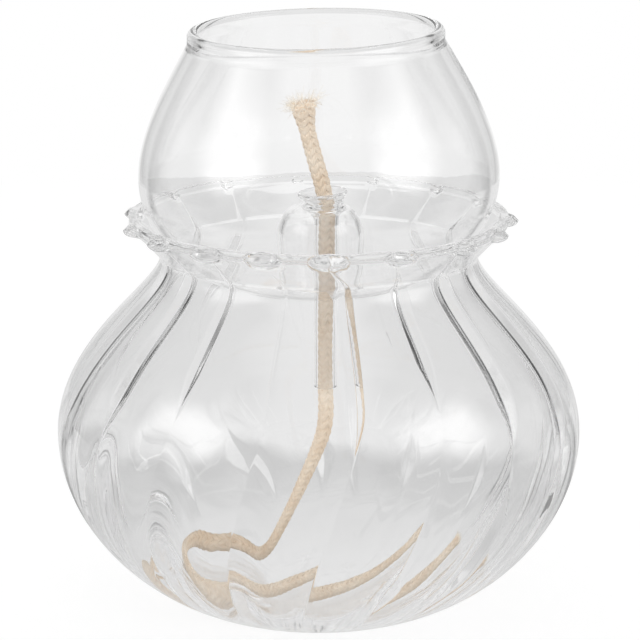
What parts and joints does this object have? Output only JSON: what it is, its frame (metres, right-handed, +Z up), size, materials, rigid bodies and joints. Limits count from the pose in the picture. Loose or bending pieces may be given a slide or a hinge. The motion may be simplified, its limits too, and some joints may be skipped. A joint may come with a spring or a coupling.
{
  "type": "oil lamp",
  "caption": "Clear blown glass oil lamp: ribbed squat reservoir with a flared nubbed collar, loose open globe, bell-shaped wick holder with a tube, and a braided cotton wick.",
  "frame": {"origin": "centre of the flat base, on the surface the lamp stands on", "axes": "+Z up through the lamp's axis, -Y towards the front, +X to the right seen from the front"},
  "size_m": [0.1236, 0.1236, 0.1401],
  "materials": {
    "clear_glass": "clear, fire polished",
    "cotton_wick": "braided, undyed"
  },
  "bodies": {
    "reservoir": {"reservoir": "clear_glass"},
    "globe": {"chimney_globe": "clear_glass"},
    "holder": {"wick_holder": "clear_glass"},
    "wick": {"wick": "cotton_wick"}
  },
  "joints": [
    {"name": "globe_lift", "type": "slide", "parent": "reservoir", "child": "globe", "axis": [0, 0, 1], "range_m": [0, 0.05]},
    {"name": "holder_lift", "type": "slide", "parent": "globe", "child": "holder", "axis": [0, 0, 1], "range_m": [0, 0.022]},
    {"name": "wick_feed", "type": "slide", "parent": "holder", "child": "wick", "axis": [0, 0, 1], "range_m": [0, 0.008]}
  ]
}
